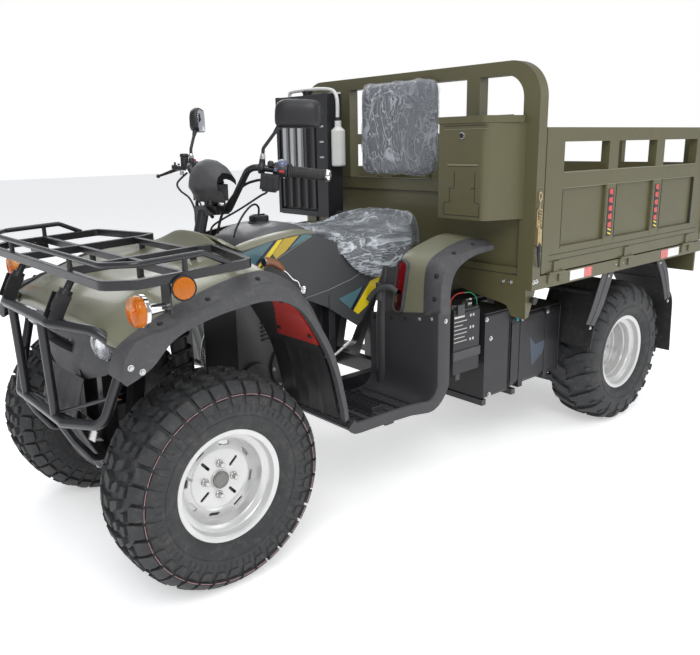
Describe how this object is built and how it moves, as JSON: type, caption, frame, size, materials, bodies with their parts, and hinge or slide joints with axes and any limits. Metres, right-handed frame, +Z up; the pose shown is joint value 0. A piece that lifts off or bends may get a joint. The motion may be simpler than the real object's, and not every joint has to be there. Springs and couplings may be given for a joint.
{
  "type": "quad bike with tipping cargo bed",
  "caption": "Utility quad bike with a saddle, handlebar steering, racks and a dropside cargo bed over the rear axle.",
  "frame": {"origin": "on the ground under the middle of the length, on the centre plane", "axes": "+X forward, +Y to the rider's left, +Z up"},
  "size_m": [2.99, 1.356, 1.55],
  "materials": {
    "frame_black": "satin black paint",
    "engine_metal": "dark cast metal",
    "grey_plastic": "grained dark grey plastic",
    "lamp_glass": "clear lens",
    "amber_lens": "amber lens",
    "olive_plastic": "olive paint, satin",
    "red_plastic": "red plastic",
    "side_graphics": "dark plastic with coloured stripes",
    "black_plastic": "black plastic",
    "seat_vinyl": "black vinyl under a clear wrap",
    "radiator_metal": "dark core with bright bars",
    "white_plastic": "translucent white plastic",
    "suspension_black": "black paint",
    "black_rubber": "moulded rubber",
    "bed_olive": "olive drab paint",
    "pad_vinyl": "dark vinyl under a clear wrap",
    "tyre": "moulded rubber",
    "rim_silver": "silver paint"
  },
  "bodies": {
    "chassis": {"frame": "frame_black", "engine_block": "engine_metal", "front_bumper": "frame_black", "front_rack": "frame_black", "front_cowl": "grey_plastic", "headlamps": "lamp_glass", "turn_lamps": "amber_lens", "front_body": "olive_plastic", "front_flares": "grey_plastic", "inner_guards": "red_plastic", "footwells": "grey_plastic", "rear_fenders": "olive_plastic", "rear_flares": "grey_plastic", "tank_cover": "grey_plastic", "side_covers": "side_graphics", "fuel_cap": "black_plastic", "seat": "seat_vinyl", "radiator": "radiator_metal", "coolant_bottle": "white_plastic", "side_boxes": "black_plastic", "fuel_tank": "black_plastic", "front_suspension": "suspension_black", "rear_axle": "suspension_black", "leaf_springs": "suspension_black", "rear_mudguards": "black_rubber"},
    "steering": {"handlebar": "frame_black", "grips": "black_rubber", "mirrors": "black_plastic", "instrument_pod": "black_plastic"},
    "knuckle_left": {"knuckle_left": "engine_metal"},
    "knuckle_right": {"knuckle_right": "engine_metal"},
    "bed": {"bed_floor": "bed_olive", "headboard": "bed_olive", "toolbox": "bed_olive", "back_pad": "pad_vinyl", "tail_board": "bed_olive"},
    "gate_left": {"gate_left": "bed_olive"},
    "gate_right": {"gate_right": "bed_olive"},
    "tailgate": {"tailgate": "bed_olive"},
    "toolbox_lid": {"toolbox_lid": "bed_olive"},
    "wheel_front_left": {"front_left_tyre": "tyre", "front_left_rim": "rim_silver"},
    "wheel_front_right": {"front_right_tyre": "tyre", "front_right_rim": "rim_silver"},
    "wheel_rear_left": {"rear_left_tyre": "tyre", "rear_left_rim": "rim_silver"},
    "wheel_rear_right": {"rear_right_tyre": "tyre", "rear_right_rim": "rim_silver"}
  },
  "joints": [
    {"name": "steer", "type": "hinge", "parent": "chassis", "child": "steering", "pos_m": [0.92, 0, 0.878], "axis": [-0.27, 0, 0.9629], "range_deg": [-35, 35]},
    {"name": "knuckle_left_turn", "type": "hinge", "parent": "chassis", "child": "knuckle_left", "pos_m": [1.135, 0.38, 0.325], "axis": [0, 0, 1], "range_deg": [-25.5, 25.5]},
    {"name": "knuckle_right_turn", "type": "hinge", "parent": "chassis", "child": "knuckle_right", "pos_m": [1.135, -0.38, 0.325], "axis": [0, 0, 1], "range_deg": [-25.5, 25.5]},
    {"name": "front_left_spin", "type": "hinge", "parent": "knuckle_left", "child": "wheel_front_left", "pos_m": [1.135, 0.435, 0.325], "axis": [0, 1, 0], "continuous": true},
    {"name": "front_right_spin", "type": "hinge", "parent": "knuckle_right", "child": "wheel_front_right", "pos_m": [1.135, -0.435, 0.325], "axis": [0, 1, 0], "continuous": true},
    {"name": "rear_left_spin", "type": "hinge", "parent": "chassis", "child": "wheel_rear_left", "pos_m": [-0.915, 0.51, 0.325], "axis": [0, 1, 0], "continuous": true},
    {"name": "rear_right_spin", "type": "hinge", "parent": "chassis", "child": "wheel_rear_right", "pos_m": [-0.915, -0.51, 0.325], "axis": [0, 1, 0], "continuous": true},
    {"name": "bed_tip", "type": "hinge", "parent": "chassis", "child": "bed", "pos_m": [-1.373, 0, 0.636], "axis": [0, -1, 0], "range_deg": [0, 45]},
    {"name": "gate_left_drop", "type": "hinge", "parent": "bed", "child": "gate_left", "pos_m": [-0.7, 0.672, 0.791], "axis": [-1, 0, 0], "range_deg": [0, 180]},
    {"name": "gate_right_drop", "type": "hinge", "parent": "bed", "child": "gate_right", "pos_m": [-0.7, -0.672, 0.791], "axis": [1, 0, 0], "range_deg": [0, 180]},
    {"name": "tailgate_drop", "type": "hinge", "parent": "bed", "child": "tailgate", "pos_m": [-1.489, 0, 0.791], "axis": [0, 1, 0], "range_deg": [-180, 0]},
    {"name": "toolbox_lid_open", "type": "hinge", "parent": "bed", "child": "toolbox_lid", "pos_m": [-0.082, 0.4, 1.362], "axis": [0, -1, 0], "range_deg": [0, 80]}
  ],
  "couplings": [
    {"joint": "knuckle_left_turn", "follows": "steer", "ratio": 0.72},
    {"joint": "knuckle_right_turn", "follows": "steer", "ratio": 0.72}
  ]
}
